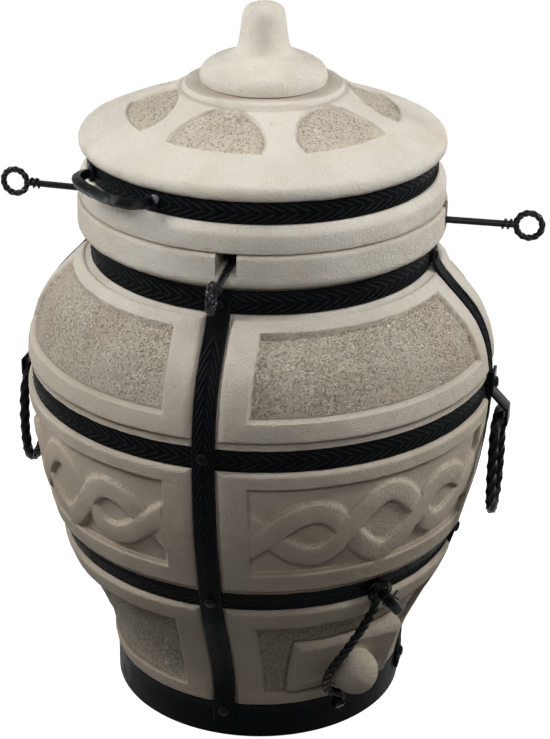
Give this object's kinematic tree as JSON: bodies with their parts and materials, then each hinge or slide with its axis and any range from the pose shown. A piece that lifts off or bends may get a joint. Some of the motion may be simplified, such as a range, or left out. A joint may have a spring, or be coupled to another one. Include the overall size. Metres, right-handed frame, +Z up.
{
  "type": "clay tandoor oven",
  "caption": "Fireclay jar oven with a domed lid and damper cap, bound in flat steel hoops and straps, with an ash vent, carrying rings and hooked skewers in its rim.",
  "frame": {"origin": "middle of the round base, on the floor", "axes": "+Z up; the ash vent and its plug face -Y, the lid handles stand out towards +X and -X"},
  "size_m": [0.5638, 0.574, 0.8678],
  "materials": {
    "clay": "unglazed, smooth on the tiles and rough in the panels",
    "black_steel": "black paint on forged and embossed flat bar",
    "cast_grate": "raw casting"
  },
  "bodies": {
    "oven": {"clay_base": "clay", "clay_body": "clay", "clay_rim": "clay", "base_ring": "black_steel", "lower_band": "black_steel", "belly_band": "black_steel", "neck_band": "black_steel", "strap_1": "black_steel", "strap_2": "black_steel", "strap_3": "black_steel", "strap_4": "black_steel", "neck_rivet_1": "black_steel", "neck_rivet_2": "black_steel", "neck_rivet_3": "black_steel", "neck_rivet_4": "black_steel", "belly_rivet_1": "black_steel", "belly_rivet_2": "black_steel", "belly_rivet_3": "black_steel", "belly_rivet_4": "black_steel", "lower_rivet_1": "black_steel", "lower_rivet_2": "black_steel", "lower_rivet_3": "black_steel", "lower_rivet_4": "black_steel", "base_rivet_1": "black_steel", "base_rivet_2": "black_steel", "base_rivet_3": "black_steel", "base_rivet_4": "black_steel", "ring_bracket_right": "black_steel", "ring_bracket_left": "black_steel", "latch_pin": "black_steel", "latch_clip": "black_steel"},
    "lid": {"lid": "clay", "lid_band": "black_steel", "lid_handle_right": "black_steel", "lid_handle_left": "black_steel"},
    "damper_cap": {"damper_cap": "clay"},
    "vent_plug": {"vent_plug": "clay"},
    "latch": {"latch_bar": "black_steel"},
    "ring_right": {"carry_ring_right": "black_steel"},
    "ring_left": {"carry_ring_left": "black_steel"},
    "grate": {"grate": "cast_grate"},
    "skewer_1": {"skewer_1": "black_steel"},
    "skewer_2": {"skewer_2": "black_steel"},
    "skewer_3": {"skewer_3": "black_steel"},
    "skewer_4": {"skewer_4": "black_steel"}
  },
  "joints": [
    {"name": "lid_lift", "type": "slide", "parent": "oven", "child": "lid", "axis": [0, 0, 1], "range_m": [0, 0.15]},
    {"name": "cap_lift", "type": "slide", "parent": "lid", "child": "damper_cap", "axis": [0, 0, 1], "range_m": [0, 0.05]},
    {"name": "plug_slide", "type": "slide", "parent": "oven", "child": "vent_plug", "axis": [-0.1461, -0.9893, 0], "range_m": [0, 0.006]},
    {"name": "latch_swing", "type": "hinge", "parent": "oven", "child": "latch", "pos_m": [0.00808, -0.2435, 0.226], "axis": [-0.0324, 0.9776, 0.2079], "range_deg": [0, 100]},
    {"name": "ring_right_swing", "type": "hinge", "parent": "oven", "child": "ring_right", "pos_m": [0.20633, -0.20633, 0.3835], "axis": [-0.7071, -0.7071, 0], "range_deg": [-8, 95]},
    {"name": "ring_left_swing", "type": "hinge", "parent": "oven", "child": "ring_left", "pos_m": [-0.20633, 0.20633, 0.3835], "axis": [0.7071, 0.7071, 0], "range_deg": [-8, 95]},
    {"name": "skewer_1_roll", "type": "hinge", "parent": "oven", "child": "skewer_1", "pos_m": [-0.13512, -0.14746, 0.6224], "axis": [-0.6756, -0.7373, 0], "range_deg": [-10, 10]},
    {"name": "skewer_2_roll", "type": "hinge", "parent": "oven", "child": "skewer_2", "pos_m": [0.14746, -0.13512, 0.6224], "axis": [0.7373, -0.6756, 0], "range_deg": [-10, 10]},
    {"name": "skewer_3_roll", "type": "hinge", "parent": "oven", "child": "skewer_3", "pos_m": [0.1364, 0.14627, 0.6224], "axis": [0.682, 0.7314, 0], "range_deg": [-10, 10]},
    {"name": "skewer_4_roll", "type": "hinge", "parent": "oven", "child": "skewer_4", "pos_m": [-0.1364, 0.14627, 0.6224], "axis": [-0.682, 0.7314, 0], "range_deg": [-10, 10]},
    {"name": "grate_lift", "type": "slide", "parent": "oven", "child": "grate", "axis": [0, 0, 1], "range_m": [0, 0.02]}
  ]
}
